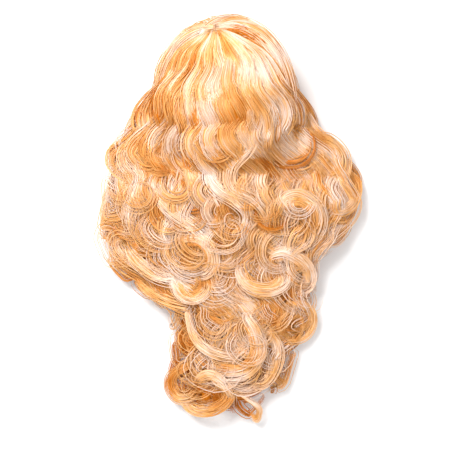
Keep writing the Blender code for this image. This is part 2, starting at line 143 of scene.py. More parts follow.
class Finish:
    """One material, made of a Principled shader and the nodes that feed it."""

    def __init__(self, name, colour, roughness, metallic=0.0):
        self.material = bpy.data.materials.new(name)
        self.material.use_nodes = True
        self.tree = self.material.node_tree
        self.shader = self.tree.nodes["Principled BSDF"]
        self.shader.inputs["Base Color"].default_value = (*colour, 1)
        self.shader.inputs["Roughness"].default_value = roughness
        self.shader.inputs["Metallic"].default_value = metallic

    def node(self, kind, settings, *values, output=0, **named):
        """Adds a node with these settings and socket values, and returns an output."""
        made = self.tree.nodes.new(kind)
        for key, value in settings.items():
            if key == "stops":
                ramp = made.color_ramp
                while len(ramp.elements) < len(value):
                    ramp.elements.new(0.5)
                for element, (place, colour) in zip(ramp.elements, value):
                    element.position, element.color = place, (*colour, 1)
            else:
                setattr(made, key, value)
        sockets = list(enumerate(values))
        sockets += [(key.replace("_", " "), value) for key, value in named.items()]
        for key, value in sockets:
            if isinstance(value, Socket):
                self.tree.links.new(value.output, made.inputs[key])
            elif value is not None:
                made.inputs[key].default_value = value
        return Socket(self, made.outputs[output])

    def feed(self, name, value):
        self.tree.links.new(value.output, self.shader.inputs[name])

    def places(self, stretch=(1, 1, 1), turn=(0, 0, 0)):
        """Object coordinates, stretched and turned."""
        spot = self.node("ShaderNodeTexCoord", {}, output="Object")
        return self.node("ShaderNodeMapping", {}, spot, (0, 0, 0), turn, stretch)

    def ramp(self, value, *stops):
        return self.node("ShaderNodeValToRGB", {"stops": stops}, value)

    def bump(self, height, depth, strength=1.0):
        bumped = self.node(
            "ShaderNodeBump", {}, Strength=strength, Distance=depth, Height=height
        )
        self.feed("Normal", bumped)


def dress(finish, *names):
    """Gives CAD nodes this finish."""
    for name in names:
        data = nodes[name].data
        data.materials.clear()
        data.materials.append(finish.material)


velvet = Finish("velvet_ribbon", (0.16, 0.075, 0.035), 0.92)
pile = velvet.node("ShaderNodeTexNoise", {}, velvet.places(), Scale=900.0, Detail=4.0)
wear = velvet.node("ShaderNodeTexNoise", {}, velvet.places(), Scale=70.0, Detail=3.0)
velvet.feed(
    "Base Color",
    velvet.ramp(
        pile * 0.6 + wear * 0.4,
        (0.32, (0.10, 0.045, 0.020)),
        (0.52, (0.19, 0.092, 0.045)),
        (0.68, (0.34, 0.19, 0.105)),
    ),
)
velvet.feed("Roughness", wear * 0.2 + 0.78)
velvet.shader.inputs["Sheen Weight"].default_value = 0.5
velvet.bump(pile, 0.0004)
dress(velvet, "front_band", "nape_band", "ear_tab_left", "ear_tab_right")
dress(velvet, "strap_casing_left", "strap_casing_right")

# Stretch lace at the temples and behind the ear tabs
# Light brown net with a honeycomb of fine threads.
lace = Finish("stretch_lace", (0.50, 0.33, 0.20), 0.8)
net = lace.node(
    "ShaderNodeTexVoronoi", {"feature": "DISTANCE_TO_EDGE"}, lace.places(), Scale=520.0
)
threads = lace.ramp(net, (0.06, (1, 1, 1)), (0.16, (0, 0, 0)))
lace.feed(
    "Base Color",
    lace.ramp(threads, (0.0, (0.22, 0.125, 0.065)), (1.0, (0.66, 0.46, 0.30))),
)
lace.feed("Roughness", 0.9 - threads * 0.2)
lace.bump(threads, 0.0005)
dress(lace, "temple_panel_left", "temple_panel_right")
dress(lace, "ear_lining_left", "ear_lining_right")

# Crown patch
# A thin film the colour of scalp under the whorl, faintly mottled.
scalp = Finish("crown_film", (0.76, 0.50, 0.34), 0.5)
mottle = scalp.node("ShaderNodeTexNoise", {}, scalp.places(), Scale=160.0, Detail=5.0)
grain = scalp.node("ShaderNodeTexVoronoi", {}, scalp.places(), Scale=900.0)
scalp.feed(
    "Base Color",
    scalp.ramp(mottle, (0.35, (0.66, 0.40, 0.26)), (0.65, (0.82, 0.57, 0.40))),
)
scalp.feed("Roughness", mottle * 0.25 + 0.4)
scalp.bump(grain, 0.0002)
dress(scalp, "crown_patch")

# Ribbons, loop tapes and elastic straps
# Woven elastic: fine ribs across the tape, with a flat weave between them.
elastic = Finish("woven_elastic", (0.60, 0.42, 0.27), 0.75)
ribs = elastic.node(
    "ShaderNodeTexWave",
    {"wave_type": "BANDS", "bands_direction": "DIAGONAL"},
    elastic.places(),
    Scale=330.0,
    Distortion=0.6,
)
weave = elastic.node("ShaderNodeTexNoise", {}, elastic.places(), Scale=1200.0)
elastic.feed(
    "Base Color",
    elastic.ramp(
        ribs * 0.6 + weave * 0.4,
        (0.25, (0.34, 0.21, 0.12)),
        (0.75, (0.74, 0.54, 0.36)),
    ),
)
elastic.feed("Roughness", weave * 0.3 + 0.6)
elastic.bump(ribs, 0.0004)
dress(elastic, *[name for name in nodes if name.startswith("ribbon_")])
dress(elastic, "loop_tape_left", "loop_tape_right")
dress(elastic, "adjuster_strap_left", "adjuster_strap_right")

# Weft tracks
# Rows of hair folded over and sewn through: golden fibre crossed by stitches.
weft = Finish("sewn_weft", (0.62, 0.36, 0.14), 0.6)
fibre = weft.node("ShaderNodeTexNoise", {}, weft.places((1, 1, 1)), Scale=1500.0)
stitch = weft.node(
    "ShaderNodeTexWave", {"wave_type": "RINGS"}, weft.places(), Scale=260.0
)
weft.feed(
    "Base Color",
    weft.ramp(
        fibre * 0.5 + stitch * 0.5,
        (0.25, (0.30, 0.13, 0.035)),
        (0.55, (0.62, 0.36, 0.14)),
        (0.80, (0.86, 0.62, 0.36)),
    ),
)
weft.feed("Roughness", fibre * 0.3 + 0.45)
weft.bump(stitch, 0.0005)
dress(weft, *[name for name in nodes if name.startswith("weft_track_")])

# Hooks and ear stays
# Bent and flattened steel, brushed along its length.
steel = Finish("spring_steel", (0.62, 0.62, 0.64), 0.3, 1.0)
brushing = steel.node(
    "ShaderNodeTexNoise", {}, steel.places((400, 40, 2600)), Scale=1.0, Detail=3.0
)
steel.feed(
    "Base Color",
    steel.ramp(brushing, (0.3, (0.46, 0.46, 0.48)), (0.7, (0.74, 0.74, 0.75))),
)
steel.feed("Roughness", brushing * 0.25 + 0.2)
steel.bump(brushing, 0.0001)
dress(steel, "ear_stay_left", "ear_stay_right")
dress(steel, "adjuster_hook_left", "adjuster_hook_right")

# Under-hair
# The short dense fibre next to the wefts and inside the loose length. It fills the
# wig out; its tones are set low, so it shows as dark gold between the locks: painted
# shade in the gaps. Its form is the hair's own height over the table, read off the
# frame and smoothed.
hair_nodes = [
    name for name in nodes if "hair" in name or "curls" in name or "length" in name
]
CELL = 0.005
MARGIN = 0.06
low, high = Vector(cad_low), Vector(cad_high)
columns = np.arange(low.x - MARGIN, high.x + MARGIN, CELL)
rows = np.arange(low.y - MARGIN, high.y + MARGIN, CELL)


def surface_grid():
    """Height of the hair over the table on a grid, as rows of y by columns of x."""
    grid = np.zeros((len(rows), len(columns)))
    for name in hair_nodes:
        data = nodes[name].data
        tree = BVHTree.FromPolygons(
            [vertex.co for vertex in data.vertices],
            [polygon.vertices for polygon in data.polygons],
        )
        corner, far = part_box(name)
        for row, y in enumerate(rows):
            if not corner[1] <= y <= far[1]:
                continue
            for column, x in enumerate(columns):
                if corner[0] <= x <= far[0]:
                    hit = tree.ray_cast(Vector((x, y, 1)), Vector((0, 0, -1)))[0]
                    if hit:
                        grid[row, column] = max(grid[row, column], hit.z)
    return grid


def blurred(grid, cells):
    """The grid smoothed over this many cells."""
    reach = np.arange(-3 * cells, 3 * cells + 1)
    weights = np.exp(-(reach**2) / (2 * cells**2))
    weights /= weights.sum()
    for axis in (0, 1):
        grid = np.apply_along_axis(np.convolve, axis, grid, weights, "same")
    return grid


CAP_CENTRE = np.array([0.0, 0.193, 0.038])
HEAD_RADII = np.array([0.104, 0.116, 0.094])  # of the hair over the cap
across_head = ((columns - CAP_CENTRE[0]) / HEAD_RADII[0])[None, :] ** 2
along_head = ((rows - CAP_CENTRE[1]) / HEAD_RADII[1])[:, None] ** 2
head = np.sqrt(np.maximum(0, 1 - across_head - along_head))
head = np.where(head > 0, CAP_CENTRE[2] + HEAD_RADII[2] * head, 0)
hair_height = np.maximum(blurred(surface_grid(), 2), head)


def height_at(x, y):
    """Height of the smoothed hair at these places."""
    across = np.clip((x - columns[0]) / CELL, 0, len(columns) - 1.001)
    along = np.clip((y - rows[0]) / CELL, 0, len(rows) - 1.001)
    i, j = along.astype(int), across.astype(int)
    u, v = along - i, across - j
    return (
        hair_height[i, j] * (1 - u) * (1 - v)
        + hair_height[i + 1, j] * u * (1 - v)
        + hair_height[i, j + 1] * (1 - u) * v
        + hair_height[i + 1, j + 1] * u * v
    )


# The hair's outline on the table: how far down, and its reach to the left and right
OUTLINE = np.array(
    [
        (-0.310, -0.050, 0.035),
        (-0.257, -0.089, 0.088),
        (-0.219, -0.074, 0.100),
        (-0.180, -0.081, 0.133),
        (-0.142, -0.087, 0.145),
        (-0.104, -0.145, 0.138),
        (-0.066, -0.184, 0.142),
        (-0.028, -0.200, 0.186),
        (0.029, -0.186, 0.208),
        (0.068, -0.186, 0.208),
        (0.106, -0.190, 0.186),
        (0.144, -0.160, 0.145),
        (0.182, -0.136, 0.134),
        (0.220, -0.116, 0.118),
        (0.258, -0.106, 0.097),
        (0.297, -0.062, 0.056),
        (0.322, -0.022, 0.033),
    ]
)
OUTLINE_INSET = 0.020  # room for the locks' own width and swing


def edges_at(y):
    """The hair's left and right reach at these places down its length."""
    left = np.interp(y, OUTLINE[:, 0], OUTLINE[:, 1]) + OUTLINE_INSET
    return left, np.interp(y, OUTLINE[:, 0], OUTLINE[:, 2]) - OUTLINE_INSET


crown = np.array([-0.0195, 0.2965])  # the whorl, seen from above
tail_end = low.y


def hair_finish(name, dark, middle, light):
    """Satin fibre: colour by each lock's tone, with fine lines along the fibres."""
    finish = Finish(name, middle, 0.4)
    # The tone attribute holds each lock's own tone together with painted shade and light:
    # lower for hearts and under layers, higher on top.
    tone = finish.node(
        "ShaderNodeAttribute", {"attribute_name": "tone"}, output="Fac"
    )
    patches = finish.node(
        "ShaderNodeTexNoise", {}, finish.places(), Scale=19.0, Detail=2.0
    )
    fibre = finish.node(
        "ShaderNodeAttribute", {"attribute_name": "fibre"}, output="Vector"
    )
    lines = finish.node(
        "ShaderNodeTexNoise",
        {},
        finish.node("ShaderNodeMapping", {}, fibre, None, None, (1900, 14, 1)),
        Scale=1.0,
        Detail=3.0,
    )
    mixed = tone + (patches - 0.5) * 1.1 + (lines - 0.5) * 0.9
    finish.feed(
        "Base Color", finish.ramp(mixed, (0.05, dark), (0.45, middle), (0.95, light))
    )
    finish.feed("Roughness", lines * 0.25 + 0.28)
    finish.bump(lines, 0.0006, 0.5)
    finish.shader.inputs["Specular IOR Level"].default_value = 0.35
    return finish


# The dark stop is the deep orange of the shaded crevices and the light stop the pale cream
# of the lit tops; the low and high tones set on the locks paint that shade and light,
# besides the fibre's own varied tone.
golden = hair_finish(
    "golden_fibre", (0.64, 0.190, 0.004), (0.88, 0.47, 0.150), (0.96, 0.77, 0.66)
)


def closed_tubes(paths, side, up, sides):
    """Closed tubes along paths (tube, point, xyz), with half sizes side and up.

    Returns points, quads, end caps, for each quad corner its place in the tube's
    own strip of the bake layout, and for each point its place across and along."""
    count, stations, _ = paths.shape
    tangent = np.gradient(paths, axis=1)
    tangent /= np.linalg.norm(tangent, axis=2, keepdims=True) + 1e-12
    vertical = np.array([0.0, 0.0, 1.0])
    rise = vertical - tangent * tangent[..., 2:3]
    rise /= np.linalg.norm(rise, axis=2, keepdims=True) + 1e-9
    across = np.cross(tangent, rise)
    rings, fibres = [], []
    legs = np.linalg.norm(np.diff(paths, axis=1), axis=2)
    run = np.concatenate([np.zeros((count, 1)), np.cumsum(legs, axis=1)], axis=1)
    for corner in range(sides):
        angle = math.pi / 2 + math.tau * corner / sides
        offset = side * math.cos(angle)
        rings.append(
            paths
            + across * offset[..., None]
            + rise * (up * math.sin(angle))[..., None]
        )
        owner = np.broadcast_to(7.3 * np.arange(count)[:, None], run.shape)
        fibres.append(np.stack([offset, run, owner], axis=-1))
    points = np.stack(rings, axis=2).reshape(-1, 3)
    fibres = np.stack(fibres, axis=2).reshape(-1, 3)
    tube = np.arange(count)[:, None, None] * stations * sides
    station = np.arange(stations - 1)[None, :, None] * sides
    first = np.arange(sides)[None, None, :]
    second = (first + 1) % sides
    quads = np.stack(
        [
            tube + station + first,
            tube + station + second,
            tube + station + sides + second,
            tube + station + sides + first,
        ],
        axis=-1,
    ).reshape(-1, 4)
    caps = np.concatenate(
        [
            (tube[:, 0] + np.arange(sides)[None, ::-1]),
            (tube[:, 0] + (stations - 1) * sides + np.arange(sides)[None, :]),
        ]
    )
    strip_u = np.stack([first, first + 1, first + 1, first], axis=-1) / sides
    strip_v = np.stack([station, station, station + sides, station + sides], axis=-1)
    strip_v = strip_v / (sides * (stations - 1))
    shape = (count, stations - 1, sides, 4)
    owner = np.broadcast_to(np.arange(count)[:, None, None, None], shape)
    layout = np.stack(
        [
            np.broadcast_to(strip_u, shape),
            np.broadcast_to(strip_v, shape),
            owner,
        ],
        axis=-1,
    ).reshape(-1, 3)
    return points, quads, caps, layout, fibres


def hair_mesh(name, finish, bundles):
    """One object from bundles of tubes: (paths, side, up, sides, tone)."""
    points, tones, fibres, loops, starts, uvs = [], [], [], [], [], []
    total = sum(len(bundle[0]) for bundle in bundles)
    across = math.ceil(math.sqrt(total * 6))
    down = math.ceil(total / across)
    base, strip = 0, 0
    for paths, side, up, sides, tone in bundles:
        found, quads, caps, layout, fibre = closed_tubes(paths, side, up, sides)
        points.append(found)
        if tone.ndim == 2:
            tone = np.repeat(tone[..., None], sides, axis=2)
        tones.append(tone.reshape(-1))
        fibres.append(fibre + (0, 0, 3.7 * strip))
        index = layout[:, 2] + strip
        uvs.append(
            np.stack(
                [
                    (index % across + 0.1 + 0.8 * layout[:, 0]) / across,
                    (index // across + 0.04 + 0.9 * layout[:, 1]) / down,
                ],
                axis=-1,
            )
        )
        loops.append((quads + base).reshape(-1))
        starts.append(np.full(len(quads), 4))
        owner = np.tile(np.arange(len(paths)), 2) + strip
        end = np.repeat((0.02, 0.97), len(paths))
        turn = math.tau * np.arange(sides) / sides
        cap_u = (owner % across)[:, None] + 0.5 + 0.3 * np.cos(turn)
        cap_v = (owner // across)[:, None] + end[:, None] + 0.01 * np.sin(turn)
        uvs.append(np.stack([cap_u / across, cap_v / down], axis=-1).reshape(-1, 2))
        loops.append((caps + base).reshape(-1))
        starts.append(np.full(len(caps), sides))
        base += len(found)
        strip += len(paths)
    points = np.concatenate(points)
    loops = np.concatenate(loops)
    sizes = np.concatenate(starts)
    data = bpy.data.meshes.new(name)
    data.vertices.add(len(points))
    data.vertices.foreach_set("co", points.astype(np.float32).reshape(-1))
    data.loops.add(len(loops))
    data.loops.foreach_set("vertex_index", loops.astype(np.int32))
    data.polygons.add(len(sizes))
    data.polygons.foreach_set(
        "loop_start", (np.cumsum(sizes) - sizes).astype(np.int32)
    )
    data.update(calc_edges=True)
    layer = data.uv_layers.new(name="OFBake")
    layer.uv.foreach_set("vector", np.concatenate(uvs).astype(np.float32).reshape(-1))
    shade = data.attributes.new("tone", "FLOAT", "POINT")
    shade.data.foreach_set("value", np.concatenate(tones).astype(np.float32))
    course = data.attributes.new("fibre", "FLOAT_VECTOR", "POINT")
    fibres = np.concatenate(fibres).astype(np.float32).reshape(-1)
    course.data.foreach_set("vector", fibres)
    data.shade_smooth()
    data.materials.append(finish.material)
    piece = bpy.data.objects.new(name, data)
    bpy.context.scene.collection.objects.link(piece)
    return piece


def across_fold(piece):
    """Bakes the piece's placement into its mesh."""
    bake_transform(piece)


CAP_RADII = np.array([0.0965, 0.1125, 0.0815])


CLEAR_OF_CAP = 0.005  # room for the lower side of a lock


def over_cap(x, y, z):
    """The height z, raised where needed so that no hair runs inside the cap."""
    across, along = x - CAP_CENTRE[0], y - CAP_CENTRE[1]
    radii = CAP_RADII + CLEAR_OF_CAP
    inside = 1 - (across / radii[0]) ** 2 - (along / radii[1]) ** 2
    roof = CAP_CENTRE[2] + radii[2] * np.sqrt(np.clip(inside, 0, 1))
    return np.where(inside > 0, np.maximum(z, roof), z)


def thatch_over_cap():
    """Thick flat tufts from the whorl down to the rim, laid edge to edge."""
    pole = np.array([*crown, 0.0]) - CAP_CENTRE
    pole[2] = 0.05
    pole /= CAP_RADII
    pole /= np.linalg.norm(pole)
    first = np.cross(pole, (0, 0, 1.0))
    first /= np.linalg.norm(first)
    second = np.cross(first, pole)
    paths = []
    for bearing in np.linspace(0, math.tau, 96, endpoint=False):
        heading = first * math.cos(bearing) + second * math.sin(bearing)
        reach = np.linspace(0.03, math.pi, 400)[:, None]
        ball = pole * np.cos(reach) + heading * np.sin(reach)
        spots = CAP_CENTRE + ball * CAP_RADII
        stop = int(np.argmax(spots[:, 2] < 0.003)) or len(spots)
        picks = np.linspace(0, stop - 1, 30).astype(int)
        paths.append(spots[picks])
    return np.array(paths)


tufts = thatch_over_cap()
spread = np.linspace(0.15, 1, 30) ** 0.8
tuft_side = np.tile(0.0062 * spread, (len(tufts), 1))
tuft_up = np.tile(0.0020 * np.ones(30), (len(tufts), 1))
# Low tones for the under-hair over the cap: painted shade between the locks.
under_hair_painted_shade_tone = np.random.default_rng(5).uniform(-0.1, 0.25, (len(tufts), 1))
under_cap = hair_mesh(
    "under_hair_cap",
    golden,
    [(tufts, tuft_side, tuft_up, 6, under_hair_painted_shade_tone + np.zeros(tufts.shape[:2]))],
)
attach(under_cap, "cap")


def thatch_of_length():
    """Wavy flat tufts through the inside of the loose length, in three layers."""
    picker = np.random.default_rng(8)
    paths, tones = [], []
    for layer, count in ((0.22, 34), (0.45, 34), (0.66, 30)):
        for place in np.linspace(-1, 1, count):
            start = 0.085 - 0.02 * picker.random()
            end = tail_end + 0.035 + 0.02 * picker.random()
            y = np.linspace(start, end, 46)
            left, right = edges_at(y)
            middle, half = (left + right) / 2, (right - left) / 2
            wave = 0.006 * np.sin(y * 75 + 5 * layer + 2.2 * place)
            filled = 0.86 - 0.22 * np.clip((0.0 - y) / 0.2, 0, 1)
            x = middle + place * filled * half + wave
            z = over_cap(x, y, np.maximum(height_at(x, y) * layer, 0.006))
            paths.append(np.stack([x, y, z], axis=-1))
            # Low tones for the under-hair in the length: painted shade between the locks.
            tones.append(picker.uniform(-0.15, 0.2))
    return np.array(paths), np.array(tones)


tufts, tones = thatch_of_length()
tuft_side = np.full(tufts.shape[:2], 0.0085)
tuft_up = np.full(tufts.shape[:2], 0.0030)
under_length = hair_mesh(
    "under_hair_length",
    golden,
    [(tufts, tuft_side, tuft_up, 6, tones[:, None] + np.zeros(tufts.shape[:2]))],
)
across_fold(under_length)

# Waves and curls
# Heat-set fibre in locks. Each lock leaves the whorl or a weft as a flat band,
# swings in waves down the head, and closes in a curl lying on its side.
STRAND_HALF_WIDTH = 0.00062
HEART_SIDES = 10
STATION_GAP = 0.0185  # between two stations of a strand, where it runs straight
BEND_WORTH = 0.030  # a radian of bend counts as this much more of the run
WHORL_REACH = 0.085  # how far from the whorl the locks have fanned out


def stations_of(path):
    """The path at its stations, which lie closer together where it bends."""
    legs = np.diff(path, axis=0)
    steps = np.linalg.norm(legs, axis=1)
    headings = legs / (steps[:, None] + 1e-12)
    bends = np.arccos(np.clip((headings[1:] * headings[:-1]).sum(axis=1), -1, 1))
    run = np.cumsum(steps + BEND_WORTH * np.concatenate([[0], bends]))
    run = np.concatenate([[0], run])
    count = int(np.clip(run[-1] / STATION_GAP, 26, 60))
    places = np.linspace(0, run[-1], count)
    return np.stack([np.interp(places, run, path[:, k]) for k in range(3)], axis=-1)


def lane(place, y):
    """Where a share of the wig's width runs, from the whorl down; place is -1 to 1."""
    left, right = edges_at(y)
    left, right = np.minimum(left, -0.02), np.maximum(right, 0.02)
    across = (left + right) / 2 + place * (right - left) / 2
    opening = np.clip((crown[1] - y) / WHORL_REACH, 0, 1)
    opening = np.sqrt(1 - (1 - opening) ** 2)
    return crown[0] + (across - crown[0]) * opening


def waving(place, start, end, swing, wavelength, phase):
    """A lock's way down the wig, seen from above, and how far it bobs up and down.

    Its heading swings from side to side, more and more towards the tip.
    """
    step = 0.0012
    run = np.arange(0, 2.2 * (start - end), step)
    progress = np.clip(run / (1.35 * (start - end)), 0, 1)
    angle = swing[0] + (swing[1] - swing[0]) * progress**1.3
    turn = phase + math.tau * run / wavelength * (1 + 0.25 * progress)
    clear = np.clip((crown[1] - 0.010 - start + run) / WHORL_REACH, 0, 1)
    heading = angle * clear * np.sin(turn)
    y = start - np.cumsum(np.cos(heading)) * step
    drift = np.cumsum(np.sin(heading)) * step
    drift -= np.linspace(0, drift[-1], len(drift)) * 0.9
    stop = int(np.argmax(y < end)) or len(y)
    way = np.stack([lane(place, y) + drift, y], axis=-1)[:stop]
    return way, (clear * np.sin(turn + 1.1))[:stop]


def curled(way, bob, turns, radius):
    """The way with a closing curl added, in the sense in which it bends already."""
    first, last = way[-30] - way[-34], way[-1] - way[-5]
    heading = math.atan2(last[1], last[0])
    bend = first[0] * last[1] - first[1] * last[0]
    hand = 1 if bend >= 0 else -1
    turn = np.linspace(0, 1, 110)
    radii = radius * (1.9 - 1.25 * turn)
    steps = math.tau * abs(turns) * radius * 1.25 / len(turn)
    headings = heading + hand * np.cumsum(steps / radii)
    curl = way[-1] + np.cumsum(
        np.stack([np.cos(headings), np.sin(headings)], axis=-1) * steps, axis=0
    )
    swing = bob[-1] * (1 - turn) + np.sin(turn * math.pi) * 1.2
    return np.concatenate([way, curl]), np.concatenate([bob, swing])


STANDS_OUT = 0.016  # how far a curl may stand out from the outline


def laid(way, bob, depth, lift, stands_out=STANDS_OUT):
    """The way with its height: it follows the hair's surface and bobs by lift."""
    y = way[:, 1]
    left, right = edges_at(y)
    x = np.clip(way[:, 0], left - stands_out / 2, right + stands_out / 2)
    x = x + stands_out * np.tanh((way[:, 0] - x) / stands_out)
    z = over_cap(x, y, np.maximum(height_at(x, y) * depth, 0.007)) + lift * bob
    kernel = np.ones(25) / 25
    z = np.convolve(np.pad(z, 12, "edge"), kernel, "valid")
    return np.stack([x, y, over_cap(x, y, z)], axis=-1)


def lock(
    path, width, strands, tone, picker, root, tip, thick, stray_share=0.25, feathered=0.0
):
    """The bundles of one lock: a solid heart and the strands over it.

    A feathered lock has strands that start one after another along its root, and
    a narrower heart.
    """
    guide = stations_of(path)
    stations = len(guide)
    tangent = np.gradient(guide, axis=0)
    tangent /= np.linalg.norm(tangent, axis=1, keepdims=True) + 1e-12
    rise = np.array([0, 0, 1.0]) - tangent * tangent[:, 2:3]
    rise /= np.linalg.norm(rise, axis=1, keepdims=True) + 1e-9
    side = np.cross(tangent, rise)
    run = np.linspace(0, 1, stations)
    swell = root + (1 - root) * np.clip(run / 0.35, 0, 1) ** 0.8
    swell = swell * (1 - (1 - tip) * np.clip((run - 0.5) / 0.5, 0, 1) ** 1.3)
    half = width / 2 * swell
    core = (0.88 - feathered) * (1 - 0.95 * np.clip((run - 0.25) / 0.60, 0, 1) ** 1.2)
    heart_side = (half * core)[None]
    heart_up = (half * core * thick * 0.88 + 0.0003)[None]
    fade = np.clip(np.minimum(run / (0.06 + feathered), (1 - run) / 0.06), 0.05, 1)
    # The heart is painted darker than its strands, and darker still on its sides and lower
    # face: painted shade under the strands and under the lock.
    facing = np.sin(math.pi / 2 + math.tau * np.arange(HEART_SIDES) / HEART_SIDES)
    heart_tone_with_painted_shade = tone - 0.10 - 0.5 * (1 - np.clip(facing, 0, 1)) ** 1.5
    heart = (
        guide[None],
        heart_side * fade,
        heart_up * fade,
        HEART_SIDES,
        np.broadcast_to(heart_tone_with_painted_shade, (1, stations, HEART_SIDES)),
    )
    spots = np.linspace(-1, 1, strands) + picker.uniform(-0.06, 0.06, strands)
    drift = picker.uniform(0.04, 0.15, (strands, 1)) * np.sin(
        run * picker.uniform(3, 9, (strands, 1)) + picker.uniform(0, 6.3, (strands, 1))
    )
    stray = picker.normal(0, stray_share, (strands, 1)) * run[None] ** 2.5
    spots = spots[:, None] + drift + stray
    arch = np.sqrt(np.clip(1 - 0.92 * np.clip(np.abs(spots), 0, 1) ** 2, 0.05, 1))
    lifted = half * thick * arch + picker.uniform(-0.0006, 0.0008, (strands, 1))
    stop = 1 - 0.35 * picker.random((strands, 1)) ** 2
    begin = feathered * picker.random((strands, 1)) if feathered else 0.0
    reach = begin + run[None] * (stop - begin)
    sample = reach * (stations - 1)
    index = np.clip(sample.astype(int), 0, stations - 2)
    part = (sample - index)[..., None]

    def along(values):
        return values[index] * (1 - part) + values[index + 1] * part

    paths = (
        along(guide)
        + along(side) * (spots * half)[..., None]
        + along(rise) * lifted[..., None]
    )
    taper = np.clip(np.minimum(run / 0.03, (1 - run) / 0.12), 0.22, 1)
    half_width = STRAND_HALF_WIDTH * picker.uniform(0.75, 1.25, (strands, 1)) * taper
    shade = tone + picker.uniform(-0.11, 0.11, (strands, 1)) + 0.08 * (run[None] - 0.4)
    return [heart, (paths, half_width, half_width * 0.8, 3, shade)]


def grow(name, recipes, seed):
    """One piece from many locks, each from its recipe."""
    picker = np.random.default_rng(seed)
    bundles = []
    for recipe in recipes:
        way, bob = waving(
            recipe["place"],
            recipe["start"],
            recipe["end"],
            recipe["swing"],
            recipe["wavelength"],
            recipe["phase"],
        )
        if recipe["turns"] > 0:
            way, bob = curled(way, bob, recipe["turns"], recipe["radius"])
        path = laid(way, bob, recipe["depth"], recipe["lift"])
        path[:, 2] = np.maximum(path[:, 2], recipe["width"] * 0.14 + 0.001)
        first = 0 if recipe["heart"] else 1
        form = [recipe[key] for key in ("root", "tip", "thick")]
        bundles += lock(
            path, recipe["width"], recipe["strands"], recipe["tone"], picker, *form
        )[first:]
    return hair_mesh(name, golden, bundles)


def row_of_locks(count, seed, places, starts, ends, depths, **rest):
    """Recipes for a row of locks, spread over places, with chance in their ends."""
    picker = np.random.default_rng(seed)

    def between(key, fallback):
        low_value, high_value = rest.get(key, fallback)
        return low_value + (high_value - low_value) * picker.random()

    recipes = []
    scatter = rest.get("scatter", 0.4)
    for index in range(count):
        gap = (places[1] - places[0]) / count
        place = places[0] + gap * (index + 0.5 + picker.uniform(-0.5, 0.5))
        start = picker.uniform(*sorted(starts))
        recipes.append(
            {
                "place": place,
                "start": start,
                "end": min(picker.uniform(*sorted(ends)), start - 0.08),
                "depth": picker.uniform(*depths),
                "swing": (between("swing_root", (0.2, 0.4)), between("swing", (0.9, 1.5))),
                "wavelength": between("wavelength", (0.125, 0.165)),
                "phase": rest.get("phase", 0.0) + place + scatter * picker.normal(),
                "turns": between("turns", (0.2, 0.8)),
                "radius": between("radius", (0.013, 0.023)),
                "width": between("width", (0.020, 0.030)),
                "tone": between("tone", (0.35, 0.65)),
                "root": rest.get("root", 0.3),
                "tip": between("tip", (0.2, 0.5)),
                "lift": between("lift", (0.003, 0.007)),
                "thick": rest.get("thick", 0.26),
                "strands": rest.get("strands", 20),
                "heart": rest.get("heart", True),
            }
        )
    return recipes


# Rows that lie under others get low tones and the rows on top high ones: painted shade
# among the locks and painted light on the top layer, besides each lock's own random tone.
tail_under = grow(
    "tail_curls_under",
    row_of_locks(
        30, 11, (-0.95, 0.95), (0.00, 0.05), (-0.20, -0.29), (0.25, 0.60),
        scatter=1.2, tone=(-0.05, 0.25), swing=(0.9, 1.5),
    ),
    12,
)
across_fold(tail_under)
tail_over = grow(
    "tail_curls_over",
    row_of_locks(
        32, 21, (-0.9, 0.9), (0.00, 0.06), (-0.15, -0.28), (0.68, 1.0),
        scatter=1.0, tone=(0.2, 0.75), swing=(1.0, 1.6), turns=(0.3, 1.0),
    ),
    22,
)
across_fold(tail_over)
lower_waves = grow(
    "lower_waves",
    row_of_locks(
        34, 31, (-0.98, 0.98), (0.08, 0.16), (-0.04, -0.16), (0.68, 0.95),
        scatter=0.9, tone=(0.05, 0.6), swing=(0.9, 1.5), turns=(0.3, 0.9),
    ),
    32,
)
across_fold(lower_waves)
middle_waves = grow(
    "middle_waves",
    row_of_locks(
        32, 41, (-0.98, 0.98), (0.15, 0.24), (0.0, -0.11), (0.86, 1.02),
        scatter=0.5, tone=(0.25, 0.75), swing=(0.8, 1.4), turns=(0.2, 0.8),
    ),
    42,
)
across_fold(middle_waves)
side_recipes = row_of_locks(
    15, 51, (-1.02, -0.70), (0.20, 0.29), (0.12, -0.06), (0.45, 1.0),
    scatter=1.0, turns=(0.3, 0.9), tone=(0.15, 0.75), swing=(0.7, 1.4),
)
side_recipes += row_of_locks(
    15, 52, (0.70, 1.02), (0.20, 0.29), (0.12, -0.06), (0.45, 1.0),
    scatter=1.0, turns=(0.3, 0.9), tone=(0.15, 0.75), swing=(0.7, 1.4),
)
side_curls = grow("side_curls_over", side_recipes, 53)
across_fold(side_curls)
crown_under = grow(
    "crown_waves_under",
    row_of_locks(
        25, 61, (-0.99, 0.99), (0.290, 0.296), (0.0, 0.13), (0.96, 1.01),
        root=0.14, width=(0.028, 0.036), strands=24, scatter=0.35,
        swing_root=(0.45, 0.6), swing=(0.8, 1.1), tone=(0.1, 0.5), lift=(0.005, 0.007),
        wavelength=(0.100, 0.125),
    ),
    62,
)
across_fold(crown_under)
crown_over = grow(
    "crown_waves",
    row_of_locks(
        24, 71, (-0.93, 0.93), (0.293, 0.2975), (0.08, -0.10), (1.0, 1.02),
        root=0.10, width=(0.024, 0.038), strands=24, scatter=0.4,
        swing_root=(0.5, 0.7), swing=(0.8, 1.2), tone=(0.3, 0.9), lift=(0.005, 0.009),
        turns=(0.1, 0.6), wavelength=(0.100, 0.125), phase=0.4, thick=0.36,
    ),
    72,
)
across_fold(crown_over)


